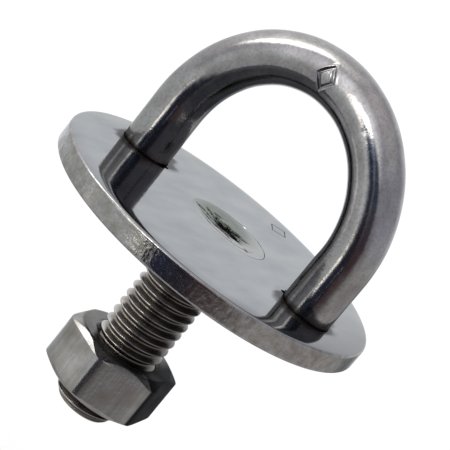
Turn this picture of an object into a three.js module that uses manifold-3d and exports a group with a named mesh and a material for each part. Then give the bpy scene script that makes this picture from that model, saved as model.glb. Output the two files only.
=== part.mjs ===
// Round pad eye on a threaded stud, in stainless steel, with its hexagon nut.
// Millimetres, +Z up. The origin is on the stud's axis at the underside of the plate, the face that
// sits on the deck. The eye stands above the plate in the XZ plane and the stud hangs below it.

import * as THREE from "three";
import { mergeVertices } from "three/addons/utils/BufferGeometryUtils.js";
import Module from "manifold-3d";

const wasm = await Module();
wasm.setup();

// Driving dimensions.
const plateDiameter = 50;
const plateThickness = 3.4;
const barDiameter = 7.5; // round bar that the eye is bent from
const legSpacing = 33.7; // between the centres of the eye's two legs
const legHeight = 7.6; // straight part of a leg above the plate
const crownRise = 17.5; // from the end of the straight legs to the bar's centre at the top
const threadDiameter = 10; // M10, pitch 1.5
const studEnd = 29.2; // from the deck face to the stud's tip
const nutWidth = 16; // across flats
const nutHeight = 8;
const nutGap = 18.2; // from the deck face to the nut's clamping face
const nutTurn = 0.2; // turn of the nut's corners from the Y axis, in radians

// Edges, fits and welds.
const plateEdge = 0.5; // 45 degree chamfer round the top of the plate
const plateFoot = 0.25; // the same round the underside
const legFit = 0.15; // between a leg and its hole
const studFit = 0.15;
const weldFit = 0.08; // between a weld and the metal round it
const studWeldDiameter = 13; // at the top of the plate
const studWeldShift = 1.4; // the weld lies this far behind the stud's axis
const studWeldTaper = 0.25; // the weld's pocket is this much narrower at its floor
const studSink = 1.1; // depth of that pocket
const legWeldDiameter = 10.4; // at the underside
const legSink = 1.3;
const threadClearance = 0.07; // the stud's crests are this far inside the nominal thread
const studTip = 0.9; // chamfer at the stud's tip
const studTopChamfer = 0.5;
const liningWall = 0.35; // the ring of metal that carries the nut's thread
const liningFit = 0.05;
const boreCountersink = 0.45;
const nutChamferAngle = Math.PI / 6;
const washerFace = 0.91; // diameter of the nut's bearing face, as a share of its width

// Fineness.
const plateSides = 120;
const roundSides = 48;
const barSides = 32;
const barSteps = 66;

const barRadius = barDiameter / 2;
const legX = legSpacing / 2;
const plateTop = plateThickness;
const studRadius = threadDiameter / 2 - threadClearance;
const liningInner = threadDiameter / 2 + liningFit;
const boreRadius = liningInner + liningWall + liningFit;
const cutMargin = 1; // how far a cutting tool runs past the face it cuts

function finish(name, geometry, color, roughness) {
  const material = new THREE.MeshStandardMaterial({ color, roughness, metalness: 1 });
  const mesh = new THREE.Mesh(geometry, material);
  mesh.name = name;
  return mesh;
}

// A turned piece about the Z axis. The profile is a list of [radius, height] points.
function turned(profile, sides) {
  const points = profile.map(([radius, height]) => new THREE.Vector2(radius, height));
  return new THREE.LatheGeometry(points, sides).rotateX(Math.PI / 2);
}

function toSolid(geometry) {
  const plain = geometry.clone();
  plain.deleteAttribute("normal");
  plain.deleteAttribute("uv");
  const merged = mergeVertices(plain, 1e-4);
  return new wasm.Manifold(
    new wasm.Mesh({
      numProp: 3,
      vertProperties: new Float32Array(merged.attributes.position.array),
      triVerts: new Uint32Array(merged.index.array),
    }),
  );
}

function toGeometry(solid) {
  const mesh = solid.getMesh();
  const geometry = new THREE.BufferGeometry();
  geometry.setAttribute("position", new THREE.BufferAttribute(mesh.vertProperties, 3));
  geometry.setIndex(new THREE.BufferAttribute(mesh.triVerts, 1));
  geometry.computeVertexNormals();
  return geometry;
}

// The centre line of the eye: a straight leg, half an ellipse over the top, a straight leg.
class EyeCrown extends THREE.Curve {
  getPoint(t, target = new THREE.Vector3()) {
    const angle = Math.PI * (1 - t);
    return target.set(legX * Math.cos(angle), 0, plateTop + legHeight + crownRise * Math.sin(angle));
  }
}

// Round disc with chamfered rims. Holes take the stud and the two legs, each with a pocket on the
// side where it is welded: the stud's on top, the legs' underneath.
function basePlate() {
  const rim = plateDiameter / 2;
  const disc = turned(
    [
      [0, 0],
      [rim - plateFoot, 0],
      [rim, plateFoot],
      [rim, plateTop - plateEdge],
      [rim - plateEdge, plateTop],
      [0, plateTop],
    ],
    plateSides,
  );
  const studHole = studRadius + studFit;
  const studTool = turned(
    [
      [0, -cutMargin],
      [studHole, -cutMargin],
      [studHole, plateTop - studSink / 2],
      [0, plateTop - studSink / 2],
    ],
    roundSides,
  );
  const pocketTool = turned(
    [
      [0, plateTop - studSink],
      [studWeldDiameter / 2 - studWeldTaper, plateTop - studSink],
      [studWeldDiameter / 2, plateTop],
      [studWeldDiameter / 2, plateTop + cutMargin],
      [0, plateTop + cutMargin],
    ],
    roundSides,
  ).translate(0, studWeldShift, 0);
  const legHole = barRadius + legFit;
  const legTool = turned(
    [
      [0, -cutMargin],
      [legWeldDiameter / 2, -cutMargin],
      [legWeldDiameter / 2, 0],
      [legHole, legSink],
      [legHole, plateTop + cutMargin],
      [0, plateTop + cutMargin],
    ],
    roundSides,
  );
  let plate = toSolid(disc).subtract(toSolid(studTool)).subtract(toSolid(pocketTool));
  for (const side of [-1, 1]) {
    plate = plate.subtract(toSolid(legTool.clone().translate(side * legX, 0, 0)));
  }
  return finish("base_plate", toGeometry(plate), 0xb9bcc0, 0.12);
}

// One round bar, swept along the legs and over the crown. Its ends stop inside the plate's holes.
function eyeLoop() {
  const footZ = legSink + weldFit;
  const shoulderZ = plateTop + legHeight;
  const path = new THREE.CurvePath();
  path.add(new THREE.LineCurve3(new THREE.Vector3(-legX, 0, footZ), new THREE.Vector3(-legX, 0, shoulderZ)));
  path.add(new EyeCrown());
  path.add(new THREE.LineCurve3(new THREE.Vector3(legX, 0, shoulderZ), new THREE.Vector3(legX, 0, footZ)));
  const section = new THREE.Shape();
  section.absarc(0, 0, barRadius, 0, 2 * Math.PI);
  const bar = new THREE.ExtrudeGeometry(section, {
    steps: barSteps,
    curveSegments: barSides / 2,
    bevelEnabled: false,
    extrudePath: path,
  });
  return finish("eye_loop", bar, 0xc4c6c8, 0.1);
}

// The stud, with a chamfer at its tip. Its top end stands in the plate under the weld.
function threadedStud() {
  const topZ = plateTop - studSink;
  const stud = turned(
    [
      [0, -studEnd],
      [studRadius - studTip, -studEnd],
      [studRadius, -studEnd + studTip],
      [studRadius, topZ - studTopChamfer],
      [studRadius - studTopChamfer, topZ],
      [0, topZ],
    ],
    roundSides,
  );
  return finish("threaded_stud", stud, 0x8f8f8c, 0.3);
}

// The weld that fills the pocket over the stud's top end and is ground flush.
function studWeld() {
  const floorZ = plateTop - studSink + weldFit;
  const widest = studWeldDiameter / 2 - weldFit;
  const weld = turned(
    [
      [0, floorZ],
      [widest - studWeldTaper, floorZ],
      [widest, plateTop],
      [0, plateTop],
    ],
    roundSides,
  );
  return finish("stud_weld", weld.translate(0, studWeldShift, 0), 0x9a9b9c, 0.35);
}

// The welds under the ends of the legs, ground flush with the underside.
function legWeld(name, side) {
  const widest = legWeldDiameter / 2 - weldFit;
  const narrowest = barRadius + legFit - weldFit;
  const weld = turned(
    [
      [0, 0],
      [widest, 0],
      [narrowest, legSink],
      [0, legSink],
    ],
    roundSides,
  );
  return finish(name, weld.translate(side * legX, 0, 0), 0x9a9b9c, 0.35);
}

// Hexagon prism met by two cones, which leave the 30 degree chamfers and their curved edges on
// the flats. The bore is countersunk at both faces.
function hexNut() {
  const cornerRadius = nutWidth / Math.sqrt(3);
  const faceRadius = (nutWidth * washerFace) / 2;
  const half = nutHeight / 2;
  const outer = cornerRadius + cutMargin;
  const drop = (outer - faceRadius) * Math.tan(nutChamferAngle);
  const prism = new THREE.CylinderGeometry(cornerRadius, cornerRadius, nutHeight, 6).rotateX(Math.PI / 2);
  const chamfers = turned(
    [
      [0, -half],
      [faceRadius, -half],
      [outer, drop - half],
      [outer, half - drop],
      [faceRadius, half],
      [0, half],
    ],
    2 * roundSides,
  );
  const wide = boreRadius + boreCountersink;
  const bore = turned(
    [
      [0, -half - cutMargin],
      [wide + cutMargin, -half - cutMargin],
      [boreRadius, boreCountersink - half],
      [boreRadius, half - boreCountersink],
      [wide + cutMargin, half + cutMargin],
      [0, half + cutMargin],
    ],
    roundSides,
  );
  const nut = toSolid(prism).intersect(toSolid(chamfers)).subtract(toSolid(bore));
  const mesh = finish("hex_nut", toGeometry(nut), 0x9c9b98, 0.3);
  mesh.position.z = -nutGap - half;
  mesh.rotation.z = nutTurn;
  return mesh;
}

// The ring of metal inside the nut that carries its thread.
function nutThread() {
  const half = nutHeight / 2 - boreCountersink;
  const ring = turned(
    [
      [liningInner, -half],
      [liningInner + liningWall, -half],
      [liningInner + liningWall, half],
      [liningInner, half],
      [liningInner, -half],
    ],
    roundSides,
  );
  const mesh = finish("nut_thread", ring, 0x6f6e6b, 0.35);
  mesh.position.z = -nutGap - nutHeight / 2;
  return mesh;
}

const padEye = new THREE.Group();
padEye.add(basePlate(), eyeLoop(), threadedStud(), studWeld());
padEye.add(legWeld("left_leg_weld", -1), legWeld("right_leg_weld", 1));
padEye.add(hexNut(), nutThread());

export default padEye;
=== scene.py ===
import math

import bpy
import numpy as np
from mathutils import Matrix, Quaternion, Vector


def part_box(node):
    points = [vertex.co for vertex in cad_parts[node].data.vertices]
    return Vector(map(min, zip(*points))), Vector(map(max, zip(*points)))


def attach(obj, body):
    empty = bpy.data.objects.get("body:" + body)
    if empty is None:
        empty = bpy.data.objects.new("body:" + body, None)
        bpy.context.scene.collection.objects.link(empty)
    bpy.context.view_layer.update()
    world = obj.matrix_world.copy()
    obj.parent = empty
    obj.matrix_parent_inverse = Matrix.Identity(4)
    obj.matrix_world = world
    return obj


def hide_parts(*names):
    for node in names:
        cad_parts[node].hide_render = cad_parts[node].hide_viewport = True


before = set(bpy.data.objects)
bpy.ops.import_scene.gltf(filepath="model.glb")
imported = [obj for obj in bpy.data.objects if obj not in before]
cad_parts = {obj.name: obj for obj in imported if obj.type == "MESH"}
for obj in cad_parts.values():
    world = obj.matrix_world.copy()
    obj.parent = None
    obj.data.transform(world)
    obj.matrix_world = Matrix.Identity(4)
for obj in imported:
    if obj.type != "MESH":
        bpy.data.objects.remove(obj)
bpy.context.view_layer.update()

mm = 0.001  # the frame is in metres, the sizes below in millimetres
scene = bpy.context.scene
scene.view_settings.view_transform = "Standard"
print("frame loaded:", len(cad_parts), "nodes")


def low(node):
    return np.array(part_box(node)[0]) / mm


def high(node):
    return np.array(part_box(node)[1]) / mm


plateTop = high("base_plate")[2]
plateRadius = high("base_plate")[0]
barRadius = high("eye_loop")[1]
legX = high("eye_loop")[0] - barRadius
crownTop = high("eye_loop")[2] - barRadius
studTip = low("threaded_stud")[2]
studRadius = high("threaded_stud")[0]
nutLow = low("hex_nut")[2]
nutHigh = high("hex_nut")[2]
weldRadius = high("stud_weld")[0]
weldShift = (high("stud_weld")[1] + low("stud_weld")[1]) / 2
legWeldRadius = high("right_leg_weld")[1]


# Camera: where it stands, the point it looks at, and its turn about the line of sight.
view = {"place": (89.2, -192.23, 60.03), "aim": (-1.19, 2.39, 3.16), "roll": 38.92, "lens": 130.14}


def makeCamera():
    data = bpy.data.cameras.new("camera")
    camera = bpy.data.objects.new("camera", data)
    scene.collection.objects.link(camera)
    place = Vector(view["place"]) * mm
    target = Vector(view["aim"]) * mm
    look = (target - place).to_track_quat("-Z", "Y")
    camera.rotation_mode = "QUATERNION"
    camera.location = place
    camera.rotation_quaternion = look @ Quaternion((0, 0, 1), math.radians(view["roll"]))
    data.lens = view["lens"]
    data.sensor_width = 36
    data.clip_start = 0.01
    data.clip_end = 50
    scene.camera = camera


makeCamera()
print("camera ready")


def addMesh(name, points, faces, sharp=40):
    mesh = bpy.data.meshes.new(name)
    mesh.from_pydata((np.asarray(points) * mm).tolist(), [], faces)
    mesh.update()
    mesh.polygons.foreach_set("use_smooth", np.ones(len(mesh.polygons), bool))
    mesh.set_sharp_from_angle(angle=math.radians(sharp))
    piece = bpy.data.objects.new(name, mesh)
    scene.collection.objects.link(piece)
    return piece


# A surface over a grid of rows and columns. The columns always close on themselves. The rows close
# too if closeRows, or each end is closed by a fan round a middle point. Six times the enclosed
# volume is the sum of a . (b x c) over the triangles, and its sign says if the faces look out.
def gridPiece(name, grid, closeRows=False, split=False, sharp=40):
    rows, columns = grid.shape[:2]
    points = grid.reshape(-1, 3)
    i = np.arange(rows if closeRows else rows - 1)[:, None]
    j = np.arange(columns)[None, :]
    a = i * columns + j
    b = i * columns + (j + 1) % columns
    c = (i + 1) % rows * columns + (j + 1) % columns
    d = (i + 1) % rows * columns + j
    quads = np.stack([a, b, c, d], -1).reshape(-1, 4)
    tris = np.concatenate([quads[:, [0, 1, 2]], quads[:, [0, 2, 3]]])
    caps = np.zeros((0, 3), int)
    if not closeRows:
        start = len(points)
        middles = np.stack([grid[0].mean(0), grid[-1].mean(0)])
        points = np.concatenate([points, middles])
        ring = np.arange(columns)
        after = (ring + 1) % columns
        last = (rows - 1) * columns
        first = np.stack([after, ring, np.full(columns, start)], -1)
        final = np.stack([last + ring, last + after, np.full(columns, start + 1)], -1)
        caps = np.concatenate([first, final])
    everyTri = np.concatenate([tris, caps])
    p, q, r = points[everyTri[:, 0]], points[everyTri[:, 1]], points[everyTri[:, 2]]
    inside = (p * np.cross(q, r)).sum() < 0
    body = tris if split else quads
    if inside:
        body = body[:, ::-1]
        caps = caps[:, ::-1]
    return addMesh(name, points, body.tolist() + caps.tolist(), sharp)


# Smooth minimum and maximum: within a band of width soft the two values are blended by a parabola.
def softMin(a, b, soft):
    near = np.clip(soft - np.abs(a - b), 0, None) / soft
    return np.minimum(a, b) - near * near * soft / 4


def softMax(a, b, soft):
    return -softMin(-a, -b, soft)


# Rows of points that go round a corner: a parabola from reach before the corner to reach after it.
def corner(before, at, after, reach, steps=4):
    toward = before - at
    away = after - at
    start = at + toward / np.linalg.norm(toward, axis=-1, keepdims=True) * reach
    end = at + away / np.linalg.norm(away, axis=-1, keepdims=True) * reach
    t = np.linspace(0, 1, steps)[:, None, None]
    return (1 - t) ** 2 * start + 2 * t * (1 - t) * at + t**2 * end


# Points of a profile in (radius, height), one profile for each column, carried round the Z axis.
def aroundZ(profile, angle, centre=(0, 0)):
    radius, height = profile[..., 0], profile[..., 1]
    x = centre[0] + radius * np.cos(angle)
    y = centre[1] + radius * np.sin(angle)
    return np.stack([x, y, height], -1)


def column(radius, height, count):
    return np.stack([np.full(count, float(radius)), np.full(count, float(height))], -1)


# A smooth closed wobble: a few sine waves of the angle with seeded strengths and starts.
def wobble(angle, seed, waves=(2, 3, 5, 8, 13)):
    draw = np.random.default_rng(seed)
    total = np.zeros_like(angle)
    for wave in waves:
        total += draw.uniform(0.4, 1) / wave**0.6 * np.sin(wave * angle + draw.uniform(0, 2 * np.pi))
    return total / len(waves)


def colour(hexText):
    values = [int(hexText[i : i + 2], 16) / 255 for i in (1, 3, 5)]
    linear = [v / 12.92 if v <= 0.04045 else ((v + 0.055) / 1.055) ** 2.4 for v in values]
    return (*linear, 1)


inColour = {"data_type": "RGBA"}
smooth = {"interpolation_type": "SMOOTHSTEP"}


# Adds one node. A setting is an attribute. An input is a value, a socket to link from, or a node
# whose first live output is meant.
def add(tree, kind, settings=None, inputs=None):
    made = tree.nodes.new("ShaderNode" + kind)
    for name, value in (settings or {}).items():
        setattr(made, name, value)
    for name, value in (inputs or {}).items():
        if isinstance(value, bpy.types.Node):
            value = next(socket for socket in value.outputs if socket.enabled)
        if isinstance(value, bpy.types.NodeSocket):
            tree.links.new(value, made.inputs[name])
        else:
            made.inputs[name].default_value = value
    return made


def newMaterial(name):
    material = bpy.data.materials.new(name)
    material.use_nodes = True
    tree = material.node_tree
    tree.nodes.clear()
    return material, tree


# The pattern scale that makes one feature of a noise this many millimetres wide.
def perSize(millimetres):
    return 1 / (millimetres * mm)


plug = {
    "studDepth": 1.0,
    "legDepth": 1.2,
    "taper": 0.4,  # how much narrower a plug is at its bottom
    "gap": 0.07,  # dark line between the weld and the plate
    "line": 0.1,  # depth of the line where two passes of the weld meet
    "dish": 0.03,  # the grinder leaves the softer middle a little low
    "ragged": 0.05,  # wobble of the outline, as a share of the radius
    "tightTurn": 2.3,  # radians from here to +X, where the dark line is narrowest
    "lineTurn": 1.1,  # the same for the middle of the line between the passes
    "lineAt": 0.78,  # where that line runs, as a share of the radius
}


# Radius of a plug's outline at each angle: a circle with a seeded wobble, drawn in a little in front.
def plugOutline(radius, angle, seed):
    front = np.clip(-np.sin(angle), 0, None) ** 2
    return radius * (0.97 + plug["ragged"] * wobble(angle, seed) - 0.12 * front)


# A tapered plug whose faces are grids of ring and angle. The top is dished, and pits are sunk in it
# as bell-shaped hollows, longer than they are wide, with seeded places and turns. The dark line round
# the plug is widest at the back, where the wheel couldn't reach the weld's edge.
def weldPlug(name, centre, radius, face, up, depth, seed, pits):
    columns = 240
    angle = np.linspace(0, 2 * np.pi, columns, endpoint=False)
    tight = 0.5 + 0.5 * np.cos(angle + plug["tightTurn"])
    back = np.clip(np.sin(angle), 0, None) ** 2
    rim = plugOutline(radius, angle, seed) - plug["gap"] * (1 - 0.7 * tight + 1.6 * back)
    share = np.linspace(0.01, 0.99, pits["rings"])[:, None]
    topRadius = rim * share
    x = topRadius * np.cos(angle)
    y = topRadius * np.sin(angle)
    sink = plug["dish"] * (1 - share**2) + 0 * x
    front = np.clip(np.cos(angle + plug["lineTurn"]), 0, None)
    sink += plug["line"] * front * np.exp(-(((share - plug["lineAt"]) / 0.012) ** 2))
    draw = np.random.default_rng(seed + 1)
    for _ in range(pits["count"]):
        along = pits["at"][0] + draw.normal(0, pits["spread"][0])
        across = pits["at"][1] + draw.normal(0, pits["spread"][1])
        turn = draw.normal(pits["turn"], 0.5)
        long = draw.uniform(0.3, 1.0) * pits["size"]
        wide = draw.uniform(0.1, 0.2) * pits["size"]
        deep = draw.uniform(0.25, 1.0) * pits["depth"]
        dx = (x - along) * math.cos(turn) + (y - across) * math.sin(turn)
        dy = (y - across) * math.cos(turn) - (x - along) * math.sin(turn)
        sink += deep * np.exp(-((dx / long) ** 2) - (dy / wide) ** 2)
    sink = softMin(sink, depth * 0.5 + 0 * sink, 0.2)
    top = np.stack([centre[0] + x, centre[1] + y, face - up * sink], -1)
    rings = [(rim, face - up * 0.001), (rim - plug["taper"], face - up * depth)]
    side = [aroundZ(np.stack([r, np.full(columns, h)], -1), angle, centre) for r, h in rings]
    return gridPiece(name, np.concatenate([top, np.stack(side)]), sharp=60)


# The same outline as a tool that cuts the seat for a plug in the plate.
def plugTool(centre, radius, face, up, depth, seed):
    angle = np.linspace(0, 2 * np.pi, 240, endpoint=False)
    rim = plugOutline(radius, angle, seed)
    rings = [(rim, face + up), (rim, face), (rim - plug["taper"], face - up * (depth + plug["gap"]))]
    grid = [aroundZ(np.stack([r, np.full(240, h)], -1), angle, centre) for r, h in rings]
    return gridPiece("tool", np.stack(grid))


# A groove with a V section round a lozenge: its loop is (cos, sin) over |cos| + |sin|.
def lozengeTool(centre, half, width, depth, face):
    angle = np.linspace(0, 2 * np.pi, 160, endpoint=False)
    loop = np.stack([np.cos(angle) * half[0], np.sin(angle) * half[1]], -1)
    loop /= (np.abs(np.cos(angle)) + np.abs(np.sin(angle)))[:, None]
    grow = width / min(half)
    outer, inner = 1 + grow, 1 - grow
    rows = [(outer, face + 1), (outer, face), (1, face - depth), (inner, face), (inner, face + 1)]
    grid = []
    for scale, height in rows:
        flat = loop * scale + np.array(centre)
        grid.append(np.concatenate([flat, np.full((160, 1), height)], 1))
    return gridPiece("tool", np.stack(grid), closeRows=True)


# A plain round tool between two heights.
def holeTool(centre, radius, bottom, top):
    angle = np.linspace(0, 2 * np.pi, 128, endpoint=False)
    profile = np.stack([column(radius, bottom, 128), column(radius, top, 128)])
    return gridPiece("tool", aroundZ(profile, angle, centre))


plate = {
    "drop": 0.22,  # how far the wheel rolls the top down before the rim's corner
    "foot": 0.25,  # 45 degree chamfer round the underside
    "round": 0.1,  # what the polishing wheel leaves of each corner underneath
    "edge": 0.42,  # how far the rounding of the top corner reaches each way
    "roll": 2.4,  # width over which the wheel rolls the top down
    "legGap": 0.07,  # between a leg and its hole
    "studGap": 0.12,
    "notch": {"off": 0.1, "radius": 0.55, "depth": 0.5},  # small hollow left beside a leg
    "lozenge": {"at": (-1.8, 19.4), "half": (1.5, 1.9), "width": 0.17, "depth": 0.13},
}
studSeed, leftSeed, rightSeed = 11, 23, 37


# The plate turned from its profile: radius and height walk from the underside's middle, round the
# rim and back to the middle of the top. Near the rim the top falls by a parabola of the radius.
def platePiece():
    columns = 320
    angle = np.linspace(0, 2 * np.pi, columns, endpoint=False)
    foot, roll, drop = plate["foot"], plate["roll"], plate["drop"]
    share = np.linspace(1 - plate["edge"] / roll, 0, 26)
    rollRadius = plateRadius - roll * (1 - share)
    rollHeight = plateTop - drop * share**2.1

    def at(radius, height):
        return column(radius, height, columns)

    corners = [
        at(plateRadius - 2, 0),
        at(plateRadius - foot, 0),
        at(plateRadius, foot),
        at(plateRadius, plateTop - drop),
        at(rollRadius[0], rollHeight[0]),
    ]
    rows = [at(0.5, 0)[None], at(8, 0)[None], at(14, 0)[None], at(plateRadius - 2, 0)[None]]
    for k in (1, 2):
        rows.append(corner(corners[k - 1], corners[k], corners[k + 1], plate["round"]))
    for height in np.linspace(foot + 0.2, plateTop - drop - plate["edge"] - 0.1, 8):
        rows.append(at(plateRadius, height)[None])
    rows.append(corner(corners[2], corners[3], corners[4], plate["edge"], 10))
    for radius, height in zip(rollRadius[1:], rollHeight[1:]):
        rows.append(at(radius, height)[None])
    for radius in (20, 15, 8.5, 0.5):
        rows.append(at(radius, plateTop)[None])
    piece = gridPiece("basePlate", aroundZ(np.concatenate(rows), angle), sharp=30)
    mark = plate["lozenge"]
    tools = [
        plugTool((0, weldShift), weldRadius + plug["gap"], plateTop, 1, plug["studDepth"], studSeed),
        plugTool((-legX, 0), legWeldRadius, 0, -1, plug["legDepth"], leftSeed),
        plugTool((legX, 0), legWeldRadius, 0, -1, plug["legDepth"], rightSeed),
        holeTool((0, 0), studRadius + plate["studGap"], -1, plateTop - 0.7),
        holeTool((-legX, 0), barRadius + plate["legGap"], 0.5, plateTop + 1),
        holeTool((legX, 0), barRadius + plate["legGap"], 0.5, plateTop + 1),
        lozengeTool(mark["at"], mark["half"], mark["width"], mark["depth"], plateTop),
    ]
    notch = plate["notch"]
    for side in (-1, 1):
        inner = side * (legX - barRadius - notch["off"])
        for across in (-0.6, 0.5):
            floor = plateTop - notch["depth"]
            tools.append(holeTool((inner, across), notch["radius"], floor, plateTop + 1))
    return cut(piece, tools)


# Cuts tools from a piece and keeps the result as the piece's own mesh.
def cut(piece, tools):
    for tool in tools:
        modifier = piece.modifiers.new("cut", "BOOLEAN")
        modifier.operation = "DIFFERENCE"
        modifier.solver = "EXACT"
        modifier.object = tool
    graph = bpy.context.evaluated_depsgraph_get()
    result = bpy.data.meshes.new_from_object(piece.evaluated_get(graph))
    piece.modifiers.clear()
    piece.data = result
    for tool in tools:
        bpy.data.objects.remove(tool)
    result.polygons.foreach_set("use_smooth", np.ones(len(result.polygons), bool))
    result.set_sharp_from_angle(angle=math.radians(30))
    return piece


basePlate = platePiece()
print("base plate cut")


eye = {
    "legHeight": 7.6,  # straight part above the plate
    "footDepth": 1.95,  # how deep the legs stand in the plate
    "rows": 560,
    "columns": 128,
    "unevenness": 0.015,  # slow waves that hand polishing leaves in the bar
}
# A plain lozenge punched in the front of the crown.
stamp = {"at": -0.35, "halfLength": 1.25, "halfHeight": 1.75, "groove": 0.2, "depth": 0.2, "lip": 0.03}
# Small knocks: distance along the bar from the crown, angle round it, size and depth.
knocks = [(6.2, 0.75, 0.25, 0.015), (8.7, 0.1, 0.3, 0.02), (-9.5, 0.5, 0.3, 0.015), (2.6, -0.2, 0.2, 0.02)]


# The eye's middle line by distance from the crown's top: half an ellipse between two straight legs.
# The ellipse is walked in small steps and read back at even distances. Returns points and the unit
# normals that point away from the opening.
def eyeLine(distance):
    shoulder = plateTop + eye["legHeight"]
    rise = crownTop - shoulder
    turn = np.linspace(-np.pi / 2, np.pi / 2, 4001)
    x, z = legX * np.sin(turn), shoulder + rise * np.cos(turn)
    walked = np.concatenate([[0], np.cumsum(np.hypot(np.diff(x), np.diff(z)))])
    walked -= walked[-1] / 2
    half = walked[-1]
    inCrown = np.interp(distance, walked, turn)
    past = np.clip(np.abs(distance) - half, 0, None)
    px = legX * np.sin(inCrown)
    pz = shoulder + rise * np.cos(inCrown) - past
    nx, nz = rise * np.sin(inCrown), legX * np.cos(inCrown)
    size = np.hypot(nx, nz)
    middle = np.stack([px, 0 * px, pz], -1)
    outward = np.stack([nx / size, 0 * px, nz / size], -1)
    return middle, outward, half + eye["legHeight"]


# The bar's surface: at each distance along the line and each angle round it, the middle point plus
# the radius in that direction. Angle 0 faces the front (-Y) and a quarter turn faces outward. The
# radius dips in the punched lozenge, where |along|/halfLength + |height|/halfHeight is near 1.
def eyePiece():
    _, _, toPlate = eyeLine(np.zeros(1))
    reach = toPlate + eye["footDepth"]
    even = np.linspace(-1, 1, eye["rows"])
    distance = reach * (0.72 * even + 0.28 * even**3)[:, None]
    step = np.linspace(-np.pi, np.pi, eye["columns"], endpoint=False)
    angle = (step - 0.45 * np.sin(step))[None, :]
    middle, outward, _ = eyeLine(distance[:, 0])
    height = barRadius * angle
    lozenge = np.abs(distance - stamp["at"]) / stamp["halfLength"] + np.abs(height) / stamp["halfHeight"]
    steep = 1 / math.hypot(1 / stamp["halfLength"], 1 / stamp["halfHeight"])
    off = (lozenge - 1) * steep
    dent = stamp["depth"] * np.exp(-((off / stamp["groove"]) ** 2))
    dent = dent - stamp["lip"] * np.exp(-(((np.abs(off) - 2 * stamp["groove"]) / 0.15) ** 2))
    for along, around, size, depth in knocks:
        away = (distance - along) ** 2 + (barRadius * (angle - around)) ** 2
        dent = dent + depth * np.exp(-away / size**2)
    wave = np.sin(distance * 0.9 + 2 * angle) + np.sin(distance * 0.37 - 3 * angle + 1)
    radius = barRadius - eye["unevenness"] * (1 + 0.5 * wave) - dent
    sideways = np.array([0.0, -1.0, 0.0])
    direction = np.cos(angle)[..., None] * sideways + np.sin(angle)[..., None] * outward[:, None, :]
    return gridPiece("eyeBar", middle[:, None, :] + radius[..., None] * direction, sharp=60)


eyeBar = eyePiece()
print("eye swept")


thread = {
    "pitch": 1.5,
    "crestHigh": -9.75,  # height of a crest on the +X side
    "depth": 0.84,
    "crestFlat": 0.19,
    "tipChamfer": 1.0,
    "perPitch": 60,  # rows in a pitch and columns in a turn, so that the crests run along the mesh
    "clearance": 0.06,  # between the nut's thread and the stud's
}


# How far a point stands from the nearest crest, along the axis. The crest climbs one pitch a turn.
def fromCrest(angle, height):
    turns = (height - thread["crestHigh"]) / thread["pitch"] - angle / (2 * np.pi)
    return np.abs(turns - np.round(turns)) * thread["pitch"]


# Depth below the crest: flanks at 60 degrees to each other, a flat crest and a rounded root.
def threadDepth(angle, height):
    flank = (fromCrest(angle, height) - thread["crestFlat"] / 2) * math.sqrt(3)
    return softMin(softMax(flank, 0 * flank, 0.1), thread["depth"] + 0 * flank, 0.3)


# The stud: radius by angle and height, crest radius less thread depth, held inside the tip's cone.
def studPiece():
    per = thread["perPitch"]
    step = thread["pitch"] / per
    top = plateTop - plug["studDepth"] - 0.12
    height = np.arange(studTip, top, step)[:, None]
    angle = np.linspace(0, 2 * np.pi, per, endpoint=False)[None, :]
    cone = studRadius - thread["tipChamfer"] + (height - studTip) * 0.9 + 0 * angle
    radius = softMin(studRadius - threadDepth(angle, height), cone, 0.08)
    radius = np.maximum(radius, 0)
    side = aroundZ(np.stack([radius, height + 0 * radius], -1), angle[0])
    rings = np.array([0.05, 0.4, 0.75, 0.93])[:, None] * radius[0]
    tip = aroundZ(np.stack([rings, np.full_like(rings, studTip)], -1), angle[0])
    lid = aroundZ(np.stack([rings[:1], np.full_like(rings[:1], height[-1, 0])], -1), angle[0])
    return gridPiece("threadedStud", np.concatenate([tip, side, lid]), split=True, sharp=55)


threadedStud = studPiece()
print("stud threaded")


nut = {
    "across": 16.0,
    "turn": 11.46,  # degrees of its corners from the Y axis
    "face": 14.56,  # diameter of the bearing face
    "chamfer": 30,
    "mouth": 5.45,  # radius of the countersink at the face
    "mouthSlope": 0.577,  # depth of the countersink for each millimetre of radius
    "perPitch": 72,  # columns in a turn, and rows in a pitch of the bore
    "edgeSoft": 0.07,  # rounding of the edges by the face
    "lens": 0.88,  # each flat leans in within this much of the face
    "lean": 0.72,  # and this is how steeply
    "cornerPower": 16,  # the higher, the sharper the corners of the hexagon
}


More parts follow.
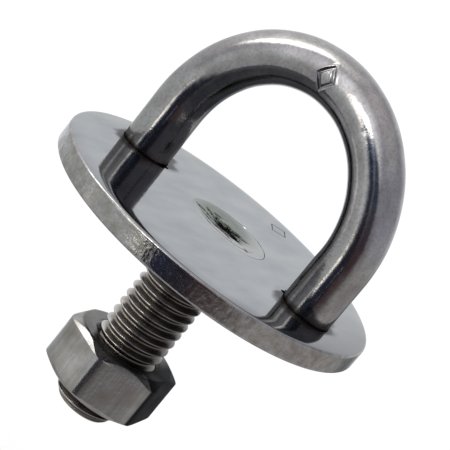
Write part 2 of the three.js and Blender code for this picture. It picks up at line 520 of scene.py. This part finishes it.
# One closed surface of profile and column. The columns stand evenly in the bore and crowd towards
# the corners on the outside: within a sixth of a turn the angle goes with the 2.2 power. The
# hexagon's radius is the half width over a soft maximum of the cosines to the six flats. Near
# the face each flat leans in, as cold forming leaves it, up to the cone of the chamfer.
def nutPiece():
    columns = nut["perPitch"]
    perSide = columns // 6
    start = math.radians(nut["turn"] - 90)
    index = np.arange(columns)
    even = start + index * 2 * np.pi / columns
    sector = (index + perSide // 2) // perSide
    share = (index - sector * perSide) / (perSide / 2)
    crowd = start + sector * np.pi / 3 + np.sign(share) * np.abs(share) ** 2.2 * np.pi / 6
    flats = start + np.pi / 6 + np.arange(6) * np.pi / 3
    toFlat = np.clip(np.cos(crowd[:, None] - flats[None, :]), 0, None)
    power = nut["cornerPower"]
    hexRadius = nut["across"] / 2 / (toFlat**power).sum(1) ** (1 / power)

    half = (nutHigh - nutLow) / 2
    middle = (nutHigh + nutLow) / 2
    faceRadius = nut["face"] / 2
    slope = math.tan(math.radians(nut["chamfer"]))
    onCone = half - (hexRadius - faceRadius) * slope
    level = np.minimum(onCone, half - nut["lens"])
    lift = (onCone - level) / (1 - nut["lean"] * slope)
    leant = hexRadius - nut["lean"] * lift

    def profile(radius, height):
        parts = [np.broadcast_to(radius, columns), np.broadcast_to(height, columns)]
        return np.stack(parts, -1).astype(float)

    mouth = profile(nut["mouth"], half)
    face = profile(faceRadius, half)
    shoulder = profile(leant, level + lift)
    bend = profile(hexRadius, level - 0.03)
    waist = profile(hexRadius, 0.0)
    soft = nut["edgeSoft"]
    rows = [
        corner(mouth, face, shoulder, soft),
        corner(face, shoulder, bend, soft * lift.clip(0.02, 0.3)[:, None] / 0.3),
        bend[None] + np.array([0, 0.01]),
        bend[None] - np.array([0, 0.03]),
    ]
    outer = np.concatenate(rows)
    mirror = outer[::-1].copy()
    mirror[..., 1] *= -1
    outer = np.concatenate([outer, waist[None], mirror])
    outside = aroundZ(outer, crowd)

    step = thread["pitch"] / columns
    height = np.arange(-half, half + step / 2, step)[:, None]
    depth = threadDepth(even[None, :], height + middle)
    bore = studRadius - depth + thread["clearance"]
    bore = softMin(bore, studRadius + 0.02 + 0 * bore, 0.1)
    bore = np.maximum(bore, studRadius - thread["depth"] + 0.1)
    toFace = half - np.abs(height)
    cone = nut["mouth"] - toFace / nut["mouthSlope"] + 0 * bore
    bore = softMax(bore, cone, 0.06)
    inside = aroundZ(np.stack([bore, height + 0 * bore], -1), even)
    faceTop = aroundZ(profile(nut["mouth"] + 0.05, half)[None], even)
    faceLow = aroundZ(profile(nut["mouth"] + 0.05, -half)[None], even)
    grid = np.concatenate([faceTop, outside, faceLow, inside])
    grid[..., 2] += middle
    return gridPiece("hexNut", grid, closeRows=True, split=True, sharp=30)


hexNut = nutPiece()
print("nut cut")

# Pits: how many, where their middle lies from the plug's, how far they spread and which way they turn.
studPits = {
    "count": 56,
    "rings": 170,
    "at": (-0.1, -0.5),
    "spread": (1.8, 1.1),
    "turn": 0.15,
    "size": 1.25,
    "depth": 0.5,
}
footPits = {
    "count": 9,
    "rings": 60,
    "at": (0, 0),
    "spread": (1.6, 1.6),
    "turn": 0.0,
    "size": 1.0,
    "depth": 0.15,
}
studDepth, legDepth = plug["studDepth"], plug["legDepth"]
seatRadius = weldRadius + plug["gap"]
studWeld = weldPlug("studWeld", (0, weldShift), seatRadius, plateTop, 1, studDepth, studSeed, studPits)
leftWeld = weldPlug("leftLegWeld", (-legX, 0), legWeldRadius, 0, -1, legDepth, leftSeed, footPits)
rightWeld = weldPlug("rightLegWeld", (legX, 0), legWeldRadius, 0, -1, legDepth, rightSeed, footPits)
print("welds ground")


# Distance from the nearer leg's axis, in metres, with the Y direction stretched by this factor.
def fromLegs(tree, split, stretch):
    away = add(tree, "Math", {"operation": "ABSOLUTE"}, {0: split.outputs["X"]})
    beside = add(tree, "Math", {"operation": "SUBTRACT"}, {0: away, 1: legX * mm})
    deep = add(tree, "Math", {"operation": "MULTIPLY"}, {0: split.outputs["Y"], 1: stretch})
    flat = add(tree, "CombineXYZ", None, {"X": beside, "Y": deep})
    return add(tree, "VectorMath", {"operation": "LENGTH"}, {0: flat})


# Stainless steel, mirror polished on a wheel: near-perfect reflections with slow waves, a faint haze
# and blotches of grey. Round each leg's foot the plate is duller, with painted shade where it meets
# the leg, and the rim's upright wall keeps the streaks of the coarser belt.
def mirrorPolished():
    recipe = {
        "steel": "#b6b8bc",
        "cool": "#a1a5aa",
        "smudgeAndShade": "#45464a",
        "tarnish": "#86878b",
        "wallLight": "#cfd0d1",
        "wallDark": "#a6a29d",
        "recessShade": "#1b1a19",
        "gloss": (0.04, 0.12),
    }
    material, tree = newMaterial("mirrorPolishedStainless")
    place = add(tree, "TexCoord").outputs["Object"]
    # The wheel ran along Y, so clouds and the smudged, shaded patches are three times as long that way.
    wiped = add(tree, "Mapping", None, {"Vector": place, "Scale": (1.0, 0.33, 1.0)})
    cloud = add(tree, "TexNoise", None, {"Vector": wiped, "Scale": perSize(3.5), "Detail": 6.0})
    blotch = add(tree, "MapRange", None, {"Value": cloud, "From Min": 0.35, "From Max": 0.65})
    tone = add(tree, "Mix", inColour,
               {"Factor": blotch, "A": colour(recipe["steel"]), "B": colour(recipe["cool"])})
    split = add(tree, "SeparateXYZ", None, {"Vector": place})
    atEnd = add(tree, "MapRange", smooth,
                {"Value": split.outputs["X"], "From Min": 14 * mm, "From Max": 24 * mm, "To Max": 0.75})
    aged = add(tree, "Mix", inColour, {"Factor": atEnd, "A": tone, "B": colour(recipe["tarnish"])})
    # Painted shade: the plate darkens round each leg's foot, where it meets the leg, and is duller there.
    reach = fromLegs(tree, split, 0.75)
    ragged = add(tree, "TexNoise", None, {"Vector": wiped, "Scale": perSize(1.6), "Detail": 1.0})
    wander = add(tree, "Math", {"operation": "MULTIPLY_ADD"}, {0: ragged, 1: -2.5 * mm, 2: reach})
    smudgeAndShade = add(tree, "MapRange", smooth,
                 {"Value": wander, "From Min": (barRadius - 1.1) * mm,
                  "From Max": (barRadius + 0.15) * mm, "To Min": 0.95, "To Max": 0.0})
    smudgedAndShaded = add(tree, "Mix", inColour, {"Factor": smudgeAndShade, "A": aged, "B": colour(recipe["smudgeAndShade"])})
    mottle = add(tree, "TexNoise", None,
                 {"Vector": place, "Scale": perSize(1.3), "Detail": 9.0, "Roughness": 0.72})
    patches = add(tree, "MapRange", None, {"Value": mottle, "From Min": 0.35, "From Max": 0.65})
    wallTone = add(tree, "Mix", inColour,
                   {"Factor": patches, "A": colour(recipe["wallLight"]), "B": colour(recipe["wallDark"])})
    haze = add(tree, "TexNoise", None, {"Vector": wiped, "Scale": perSize(2.2), "Detail": 6.0})
    gloss = add(tree, "MapRange", None,
                {"Value": haze, "From Min": 0.3, "From Max": 0.75,
                 "To Min": recipe["gloss"][0], "To Max": recipe["gloss"][1]})
    flat = add(tree, "CombineXYZ", None, {"X": split.outputs["X"], "Y": split.outputs["Y"]})
    radius = add(tree, "VectorMath", {"operation": "LENGTH"}, {0: flat})
    onWall = add(tree, "MapRange", None,
                 {"Value": radius, "From Min": (plateRadius - 0.3) * mm,
                  "From Max": (plateRadius - 0.02) * mm})
    whole = add(tree, "Mix", inColour, {"Factor": onWall, "A": smudgedAndShaded, "B": wallTone})
    # Painted shade in the hole walls and grooves: below the top, above the underside and inside the rolled
    # rim.
    sunk = add(tree, "MapRange", None,
               {"Value": split.outputs["Z"], "From Min": (plateTop - 0.07) * mm,
                "From Max": (plateTop - 0.02) * mm, "To Min": 1.0, "To Max": 0.0})
    within = add(tree, "Math", {"operation": "LESS_THAN"},
                 {0: radius, 1: (plateRadius - plate["roll"] - 0.2) * mm})
    above = add(tree, "Math", {"operation": "GREATER_THAN"}, {0: split.outputs["Z"], 1: 0.3 * mm})
    inside = add(tree, "Math", {"operation": "MULTIPLY"}, {0: within, 1: above})
    recessShade = add(tree, "Math", {"operation": "MULTIPLY"}, {0: sunk, 1: inside})
    final = add(tree, "Mix", inColour, {"Factor": recessShade, "A": whole, "B": colour(recipe["recessShade"])})
    dull = add(tree, "Math", {"operation": "MULTIPLY_ADD", "use_clamp": True},
               {0: smudgeAndShade, 1: 0.3, 2: gloss})
    duller = add(tree, "Math", {"operation": "MULTIPLY_ADD", "use_clamp": True},
                 {0: onWall, 1: 0.03, 2: dull})
    peel = add(tree, "TexNoise", None, {"Vector": place, "Scale": perSize(0.7), "Detail": 4.0})
    waves = add(tree, "TexNoise", None, {"Vector": place, "Scale": perSize(3.5), "Detail": 2.0})
    # Real scratches are finer than a hair, so they are drawn coarser, at a quarter of a millimetre.
    scratches = add(tree, "TexNoise", None, {"Vector": place, "Scale": perSize(0.25), "Detail": 4.0})
    upright = add(tree, "Mapping", None,
                  {"Vector": place, "Scale": (perSize(0.55), perSize(0.55), perSize(2.2))})
    streaks = add(tree, "TexNoise", None, {"Vector": upright, "Scale": 1.0, "Detail": 4.0})
    waved = add(tree, "Bump", None, {"Strength": 1.0, "Distance": 0.014 * mm, "Height": waves})
    scratched = add(tree, "Bump", None,
                    {"Strength": 1.0, "Distance": 0.0012 * mm, "Height": scratches, "Normal": waved})
    streaked = add(tree, "Bump", None,
                   {"Strength": onWall, "Distance": 0.03 * mm, "Height": streaks, "Normal": scratched})
    peeled = add(tree, "Bump", None,
                 {"Strength": onWall, "Distance": 0.05 * mm, "Height": peel, "Normal": streaked})
    shader = add(tree, "BsdfPrincipled", None,
                 {"Base Color": final, "Metallic": 1.0, "Roughness": duller, "Normal": peeled})
    add(tree, "OutputMaterial", None, {"Surface": shader})
    return material


# The same steel as drawn bar, bent and then buffed by hand: slow waves and a fine grain that breaks
# the highlights up, painted shade just above the plate, and a little brown of the weld's heat above it.
def buffedBar():
    recipe = {
        "steel": "#c8c8ca",
        "dusky": "#b0afb0",
        "speck": "#8b8988",
        "brown": "#8d7468",
        "barFootShade": "#2b2725",
        "gloss": (0.06, 0.17),
    }
    material, tree = newMaterial("buffedStainlessBar")
    place = add(tree, "TexCoord").outputs["Object"]
    cloud = add(tree, "TexNoise", None, {"Vector": place, "Scale": perSize(3), "Detail": 7.0})
    blotch = add(tree, "MapRange", None, {"Value": cloud, "From Min": 0.35, "From Max": 0.65})
    tone = add(tree, "Mix", inColour,
               {"Factor": blotch, "A": colour(recipe["steel"]), "B": colour(recipe["dusky"])})
    # The buffing grain is far finer than this, and is drawn coarser so that it shows.
    fine = add(tree, "TexNoise", None, {"Vector": place, "Scale": perSize(0.4), "Detail": 6.0})
    specks = add(tree, "MapRange", None, {"Value": fine, "From Min": 0.45, "From Max": 0.75, "To Max": 0.5})
    specked = add(tree, "Mix", inColour, {"Factor": specks, "A": tone, "B": colour(recipe["speck"])})
    split = add(tree, "SeparateXYZ", None, {"Vector": place})
    ragged = add(tree, "TexNoise", None, {"Vector": place, "Scale": perSize(2), "Detail": 2.0})
    level = add(tree, "Math", {"operation": "MULTIPLY_ADD"},
                {0: ragged, 1: -1.6 * mm, 2: split.outputs["Z"]})
    heat = add(tree, "MapRange", smooth,
               {"Value": level, "From Min": (plateTop - 0.8) * mm,
                "From Max": (plateTop + 0.6) * mm, "To Min": 0.75, "To Max": 0.0})
    warm = add(tree, "Mix", inColour, {"Factor": heat, "A": specked, "B": colour(recipe["brown"])})
    # Painted shade: the bar darkens just above the plate, where it stands in it.
    barFootShade = add(tree, "MapRange", smooth,
               {"Value": split.outputs["Z"], "From Min": (plateTop + 0.03) * mm,
                "From Max": (plateTop + 0.4) * mm, "To Min": 0.8, "To Max": 0.0})
    footShaded = add(tree, "Mix", inColour, {"Factor": barFootShade, "A": warm, "B": colour(recipe["barFootShade"])})
    haze = add(tree, "TexNoise", None, {"Vector": place, "Scale": perSize(1.2), "Detail": 7.0})
    gloss = add(tree, "MapRange", None,
                {"Value": haze, "From Min": 0.3, "From Max": 0.75,
                 "To Min": recipe["gloss"][0], "To Max": recipe["gloss"][1]})
    waves = add(tree, "TexNoise", None, {"Vector": place, "Scale": perSize(2.6), "Detail": 2.0})
    grain = add(tree, "TexNoise", None, {"Vector": place, "Scale": perSize(0.28), "Detail": 4.0})
    waved = add(tree, "Bump", None, {"Strength": 1.0, "Distance": 0.03 * mm, "Height": waves})
    grained = add(tree, "Bump", None,
                  {"Strength": 1.0, "Distance": 0.007 * mm, "Height": grain, "Normal": waved})
    shader = add(tree, "BsdfPrincipled", None,
                 {"Base Color": footShaded, "Metallic": 1.0, "Roughness": gloss, "Normal": grained})
    add(tree, "OutputMaterial", None, {"Surface": shader})
    return material


# Rolled thread in bare stainless steel: burnished crests, and roots darkened by painted shade.
def rolledThread():
    recipe = {"crest": "#dedcd9", "shadedRoot": "#a39b92", "threadShading": "#57524d", "gloss": (0.14, 0.3)}
    material, tree = newMaterial("rolledStainlessThread")
    place = add(tree, "TexCoord").outputs["Object"]
    split = add(tree, "SeparateXYZ", None, {"Vector": place})
    flat = add(tree, "CombineXYZ", None, {"X": split.outputs["X"], "Y": split.outputs["Y"]})
    reach = add(tree, "VectorMath", {"operation": "LENGTH"}, {0: flat})
    # Painted shade in the roots: the colour darkens from the burnished crests down into the roots.
    threadShading = add(tree, "TexNoise", None, {"Vector": place, "Scale": perSize(1.4), "Detail": 5.0})
    patchy = add(tree, "Math", {"operation": "MULTIPLY_ADD"}, {0: threadShading, 1: -0.5 * mm, 2: reach})
    towardCrest = add(tree, "MapRange", smooth,
                {"Value": patchy, "From Min": (studRadius - 1.05) * mm,
                 "From Max": (studRadius - 0.2) * mm})
    # Painted shade darkens the side towards +X.
    toSide = add(tree, "MapRange", smooth,
                 {"Value": split.outputs["X"], "From Min": 1.5 * mm, "From Max": 4.8 * mm, "To Max": 0.8})
    burnishedAndShaded = add(tree, "Mix", inColour,
               {"Factor": towardCrest, "A": colour(recipe["shadedRoot"]), "B": colour(recipe["crest"])})
    tone = add(tree, "Mix", inColour, {"Factor": toSide, "A": burnishedAndShaded, "B": colour(recipe["threadShading"])})
    gloss = add(tree, "MapRange", None,
                {"Value": towardCrest, "To Min": recipe["gloss"][1], "To Max": recipe["gloss"][0]})
    # The rolled skin's grain, a few times coarser than life.
    grain = add(tree, "TexNoise", None, {"Vector": place, "Scale": perSize(0.15), "Detail": 5.0})
    bump = add(tree, "Bump", None, {"Strength": 1.0, "Distance": 0.003 * mm, "Height": grain})
    shader = add(tree, "BsdfPrincipled", None,
                 {"Base Color": tone, "Metallic": 1.0, "Roughness": gloss, "Normal": bump})
    add(tree, "OutputMaterial", None, {"Surface": shader})
    return material


# Cold-formed stainless nut: drawn lines along the axis on the flats, and a slightly stained surface.
def drawnNut():
    recipe = {
        "steel": "#cdcecf",
        "stain": "#a5a19b",
        "bore": "#3a3734",
        "sideShade": "#202124",
        "face": "#7c7a78",
        "gloss": (0.2, 0.36),
    }
    material, tree = newMaterial("drawnStainlessNut")
    place = add(tree, "TexCoord").outputs["Object"]
    cloud = add(tree, "TexNoise", None, {"Vector": place, "Scale": perSize(3), "Detail": 6.0})
    # Drawn lines are a few hundredths of a millimetre apart, and are drawn ten times coarser to show.
    stretch = add(tree, "Mapping", None,
                  {"Vector": place, "Scale": (perSize(0.35), perSize(0.35), perSize(9))})
    lines = add(tree, "TexNoise", None, {"Vector": stretch, "Scale": 1.0, "Detail": 4.0})
    cloudy = add(tree, "MapRange", None, {"Value": cloud, "From Min": 0.25, "From Max": 0.75})
    bare = add(tree, "Mix", inColour,
               {"Factor": cloudy, "A": colour(recipe["steel"]), "B": colour(recipe["stain"])})
    split = add(tree, "SeparateXYZ", None, {"Vector": place})
    # Painted shade on the two faces, and over the flat on the +X side.
    middle = add(tree, "Math", {"operation": "SUBTRACT"},
                 {0: split.outputs["Z"], 1: (nutLow + nutHigh) / 2 * mm})
    toFace = add(tree, "Math", {"operation": "ABSOLUTE"}, {0: middle})
    onFace = add(tree, "MapRange", smooth,
                 {"Value": toFace, "From Min": ((nutHigh - nutLow) / 2 - 0.3) * mm,
                  "From Max": ((nutHigh - nutLow) / 2 - 0.05) * mm})
    facesShaded = add(tree, "Mix", inColour, {"Factor": onFace, "A": bare, "B": colour(recipe["face"])})
    # Painted shade over the flat on the +X side, towards the back, which is also duller.
    behind = add(tree, "MapRange", smooth,
                 {"Value": split.outputs["Y"], "From Min": -3.2 * mm, "From Max": -2.7 * mm})
    toSide = add(tree, "MapRange", smooth,
                 {"Value": split.outputs["X"], "From Min": 1.5 * mm, "From Max": 5.5 * mm})
    shadedFlat = add(tree, "Math", {"operation": "MULTIPLY"}, {0: behind, 1: toSide})
    tone = add(tree, "Mix", inColour, {"Factor": shadedFlat, "A": facesShaded, "B": colour(recipe["sideShade"])})
    flat = add(tree, "CombineXYZ", None, {"X": split.outputs["X"], "Y": split.outputs["Y"]})
    reach = add(tree, "VectorMath", {"operation": "LENGTH"}, {0: flat})
    # Painted shade darkens the bore.
    outer = add(tree, "MapRange", smooth, {"Value": reach, "From Min": 4.2 * mm, "From Max": 5.6 * mm})
    dark = add(tree, "Mix", inColour, {"Factor": outer, "A": colour(recipe["bore"]), "B": tone})
    streak = add(tree, "MapRange", None,
                 {"Value": lines, "From Min": 0.35, "From Max": 0.65, "To Min": 0.86, "To Max": 1.05})
    lined = add(tree, "Mix", {"data_type": "RGBA", "blend_type": "MULTIPLY"},
                {"Factor": 1.0, "A": dark, "B": streak})
    gloss = add(tree, "MapRange", None,
                {"Value": cloud, "From Min": 0.3, "From Max": 0.7,
                 "To Min": recipe["gloss"][0], "To Max": recipe["gloss"][1]})
    dull = add(tree, "Math", {"operation": "MULTIPLY_ADD", "use_clamp": True}, {0: shadedFlat, 1: 0.3, 2: gloss})
    bump = add(tree, "Bump", None, {"Strength": 1.0, "Distance": 0.004 * mm, "Height": lines})
    dents = add(tree, "TexNoise", None, {"Vector": place, "Scale": perSize(0.5), "Detail": 6.0})
    rough = add(tree, "Bump", None,
                {"Strength": 1.0, "Distance": 0.022 * mm, "Height": dents, "Normal": bump})
    shader = add(tree, "BsdfPrincipled", None,
                 {"Base Color": lined, "Metallic": 1.0, "Roughness": dull, "Normal": rough})
    add(tree, "OutputMaterial", None, {"Surface": shader})
    return material


# Weld metal ground flush and polished over: a greyer, duller skin, with black scale left in the pits.
def groundWeld():
    recipe = {"metal": "#b8babb", "grey": "#717870", "scale": "#141211", "gloss": (0.08, 0.3)}
    material, tree = newMaterial("groundStainlessWeld")
    place = add(tree, "TexCoord").outputs["Object"]
    cloud = add(tree, "TexNoise", None, {"Vector": place, "Scale": perSize(1.6), "Detail": 6.0})
    # The wheel left the side towards -X and +Y greyer.
    fromGrey = add(tree, "VectorMath", {"operation": "DISTANCE"},
                   {0: place, 1: (-1.8 * mm, (weldShift + 1.2) * mm, plateTop * mm)})
    uneven = add(tree, "Math", {"operation": "MULTIPLY_ADD"}, {0: cloud, 1: 3.0 * mm, 2: fromGrey})
    greyness = add(tree, "MapRange", smooth,
                   {"Value": uneven, "From Min": 4.2 * mm, "From Max": 8.0 * mm,
                    "To Min": 1.0, "To Max": 0.0})
    tone = add(tree, "Mix", inColour,
               {"Factor": greyness, "A": colour(recipe["metal"]), "B": colour(recipe["grey"])})
    split = add(tree, "SeparateXYZ", None, {"Vector": place})
    # Depth below the nearer face of the plate.
    centred = add(tree, "Math", {"operation": "SUBTRACT"}, {0: split.outputs["Z"], 1: plateTop / 2 * mm})
    offMiddle = add(tree, "Math", {"operation": "ABSOLUTE"}, {0: centred})
    deep = add(tree, "MapRange", smooth,
               {"Value": offMiddle, "From Min": (plateTop / 2 - 0.3) * mm,
                "From Max": (plateTop / 2 - 0.14) * mm, "To Min": 1.0, "To Max": 0.0})
    pitted = add(tree, "Mix", inColour, {"Factor": deep, "A": tone, "B": colour(recipe["scale"])})
    gloss = add(tree, "MapRange", None,
                {"Value": cloud, "From Min": 0.3, "From Max": 0.7,
                 "To Min": recipe["gloss"][0], "To Max": recipe["gloss"][1]})
    # Marks of a fine grinding disc, a few times coarser than life.
    grain = add(tree, "TexNoise", None, {"Vector": place, "Scale": perSize(0.3), "Detail": 6.0})
    bump = add(tree, "Bump", None, {"Strength": 1.0, "Distance": 0.008 * mm, "Height": grain})
    shader = add(tree, "BsdfPrincipled", None,
                 {"Base Color": pitted, "Metallic": 1.0, "Roughness": gloss, "Normal": bump})
    add(tree, "OutputMaterial", None, {"Surface": shader})
    return material


weldFinish = groundWeld()
finishes = {
    basePlate: (mirrorPolished(), "polished_plate"),
    eyeBar: (buffedBar(), "polished_bar"),
    threadedStud: (rolledThread(), "stud_thread"),
    hexNut: (drawnNut(), "nut_steel"),
    studWeld: (weldFinish, "ground_weld"),
    leftWeld: (weldFinish, "ground_weld"),
    rightWeld: (weldFinish, "ground_weld"),
}
for piece, (material, slotName) in finishes.items():
    piece.data.materials.clear()
    piece.data.materials.append(material)
print("finishes on")

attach(basePlate, "eye_plate")
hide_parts("base_plate")
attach(eyeBar, "eye_plate")
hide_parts("eye_loop")
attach(threadedStud, "eye_plate")
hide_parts("threaded_stud")
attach(studWeld, "eye_plate")
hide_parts("stud_weld")
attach(leftWeld, "eye_plate")
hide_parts("left_leg_weld")
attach(rightWeld, "eye_plate")
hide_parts("right_leg_weld")
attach(hexNut, "nut")
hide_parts("hex_nut", "nut_thread")


# What polished steel shows of the studio. The base is a colour for each height above the horizon, in
# degrees. Each card or lamp is a soft-edged oval or box: bearing from +X towards +Y and height, half
# width, half height and tilt, all in degrees. Box is the power of its outline, 2 for an oval, soft the
# share of its size over which it fades, and shine above 1 makes it a lamp. A later card covers an
# earlier one.
studio = {
    "gain": 2.0,
    "second": 0.3,  # oil and haze dim a reflection seen in another one
    "open": "#ffffff",
    "openGain": 1.06,
    "floorDrop": 45,  # from the stud's tip down to the floor
    "floorHalf": 8000,
    "base": [(-40, "#7b797a"), (-12, "#888a88"), (15, "#75737a"), (45, "#747579"), (75, "#959191")],
}
plainCard = {"tilt": 0, "box": 2, "soft": 0.95, "shine": 1}
cards = {
    "paleCard": {"at": (172, 31), "half": (43, 26), "hue": "#adaaa9"},
    "boxSpill": {"at": (-165, 45), "half": (13, 20), "hue": "#d9d7d1", "box": 3},
    "softBox": {"at": (-155, 36), "half": (9, 21), "hue": "#fffffb", "tilt": 4,
                "box": 4, "soft": 0.3, "shine": 1.4},
    "lampSpill": {"at": (-103, 27), "half": (25, 28), "hue": "#d6d4d5", "tilt": -37},
    "stripLamp": {"at": (-101, 18), "half": (5, 14), "hue": "#fffaf0", "tilt": -27,
                  "soft": 0.6, "shine": 4.5},
    "footLamp": {"at": (-98, -12.5), "half": (4.5, 2.6), "hue": "#fff8ea", "soft": 0.4, "shine": 1.3},
    "blueCard": {"at": (-88, 10), "half": (14, 14), "hue": "#949aac", "soft": 0.3},
    "navyCard": {"at": (-94, 9), "half": (14, 11), "hue": "#13283b", "soft": 0.85},
    "darkTop": {"at": (-61, 10), "half": (30, 10), "hue": "#303844", "tilt": -37, "soft": 0.34},
    "darkCard": {"at": (-55, -9), "half": (36, 18), "hue": "#332628", "tilt": -3, "box": 2.5},
    "darkFoot": {"at": (-72, -17), "half": (13, 30), "hue": "#1f1e24", "tilt": 34, "soft": 0.4},
    "navyFoot": {"at": (-83, -17), "half": (8, 7), "hue": "#1c1f2e", "soft": 0.5},
    "greyCard": {"at": (22, -14), "half": (51, 10), "hue": "#74706f", "tilt": -4},
    "smallCard": {"at": (-148, -28), "half": (8, 11), "hue": "#a09d9a", "soft": 0.2},
    "backdrop": {"at": (111, 12), "half": (38, 34), "hue": "#a5a6a7"},
    "tableEdge": {"at": (135, -20), "half": (24, 5), "hue": "#aeb0b8", "tilt": -8},
    "tableTop": {"at": (111, -22), "half": (12, 10), "hue": "#a3a4a7", "soft": 0.6},
    "lowCard": {"at": (84, -20), "half": (13, 11), "hue": "#47494c", "soft": 0.8},
}


# The unit vector with this bearing and height above the horizon.
def towards(bearing, height):
    b, h = math.radians(bearing), math.radians(height)
    return Vector((math.cos(h) * math.cos(b), math.cos(h) * math.sin(b), math.sin(h)))


# A card's own axes: toward it, to its right along the horizon and up, turned by its tilt. A direction
# divided by its share toward the card gives the place on a flat card one unit away.
def cardMask(tree, direction, card):
    toward = towards(*card["at"])
    right = Vector((0, 0, 1)).cross(toward).normalized()
    upward = toward.cross(right)
    tilt = math.radians(card["tilt"])
    across = right * math.cos(tilt) + upward * math.sin(tilt)
    along = upward * math.cos(tilt) - right * math.sin(tilt)
    ahead = add(tree, "VectorMath", {"operation": "DOT_PRODUCT"}, {0: direction, 1: tuple(toward)})
    inFront = add(tree, "Math", {"operation": "MAXIMUM"}, {0: ahead, 1: 0.02})
    total = None
    for axis, half in ((across, card["half"][0]), (along, card["half"][1])):
        part = add(tree, "VectorMath", {"operation": "DOT_PRODUCT"}, {0: direction, 1: tuple(axis)})
        flat = add(tree, "Math", {"operation": "DIVIDE"}, {0: part, 1: inFront})
        size = add(tree, "Math", {"operation": "DIVIDE"}, {0: flat, 1: math.tan(math.radians(half))})
        positive = add(tree, "Math", {"operation": "ABSOLUTE"}, {0: size})
        term = add(tree, "Math", {"operation": "POWER"}, {0: positive, 1: card["box"]})
        total = term if total is None else add(tree, "Math", {"operation": "ADD"}, {0: total, 1: term})
    reach = add(tree, "Math", {"operation": "POWER"}, {0: total, 1: 1 / card["box"]})
    mask = add(tree, "MapRange", smooth,
               {"Value": reach, "From Min": 1 - card["soft"], "From Max": 1 + card["soft"],
                "To Min": 1.0, "To Max": 0.0})
    return mask


def makeSurroundings():
    world = bpy.data.worlds.new("surroundings")
    world.use_nodes = True
    world.cycles.sampling_method = "NONE"
    tree = world.node_tree
    tree.nodes.clear()
    scene.world = world
    direction = add(tree, "TexCoord").outputs["Generated"]
    split = add(tree, "SeparateXYZ", None, {"Vector": direction})
    ramp = add(tree, "MapRange", None, {"Value": split.outputs["Z"], "From Min": -1.0, "From Max": 1.0})
    sky = add(tree, "ValToRGB", None, {"Fac": ramp})
    stops = sky.color_ramp.elements
    while len(stops) < len(studio["base"]):
        stops.new(0.5)
    for stop, (height, hue) in zip(stops, studio["base"]):
        stop.position = (math.sin(math.radians(height)) + 1) / 2
        stop.color = colour(hue)
    shade = sky
    for own in cards.values():
        card = {**plainCard, **own}
        mask = cardMask(tree, direction, card)
        hue = Vector(colour(card["hue"])[:3]) * card["shine"]
        shade = add(tree, "Mix", inColour, {"Factor": mask, "A": shade, "B": (*hue, 1)})
    ray = add(tree, "LightPath")
    again = add(tree, "Math", {"operation": "GREATER_THAN"}, {0: ray.outputs["Glossy Depth"], 1: 1.5})
    gain = add(tree, "MapRange", None,
               {"Value": again, "To Min": studio["gain"], "To Max": studio["gain"] * studio["second"]})
    seen = add(tree, "Background", None, {"Color": shade, "Strength": gain})
    plain = add(tree, "Background", None, {"Color": colour(studio["open"]), "Strength": studio["openGain"]})
    pick = add(tree, "MixShader", None, {0: ray.outputs["Is Glossy Ray"], 1: plain, 2: seen})
    add(tree, "OutputWorld", None, {"Surface": pick})


# A wide pale floor below the object. The steel mirrors the room and not the floor.
def makeFloor():
    below = studTip - studio["floorDrop"]
    side = studio["floorHalf"]
    corners = [(-side, -side, below), (side, -side, below), (side, side, below), (-side, side, below)]
    floor = addMesh("floor", np.array(corners, float), [[0, 1, 2, 3]])
    floor.visible_glossy = False
    material, tree = newMaterial("paleFloor")
    place = add(tree, "TexCoord").outputs["Object"]
    cloud = add(tree, "TexNoise", None, {"Vector": place, "Scale": perSize(120), "Detail": 3.0})
    tone = add(tree, "Mix", inColour, {"Factor": cloud, "A": colour("#fdfdfd"), "B": colour("#fbfbfb")})
    shader = add(tree, "BsdfDiffuse", None, {"Color": tone})
    add(tree, "OutputMaterial", None, {"Surface": shader})
    floor.data.materials.append(material)


makeSurroundings()
makeFloor()
print("surroundings and floor ready")
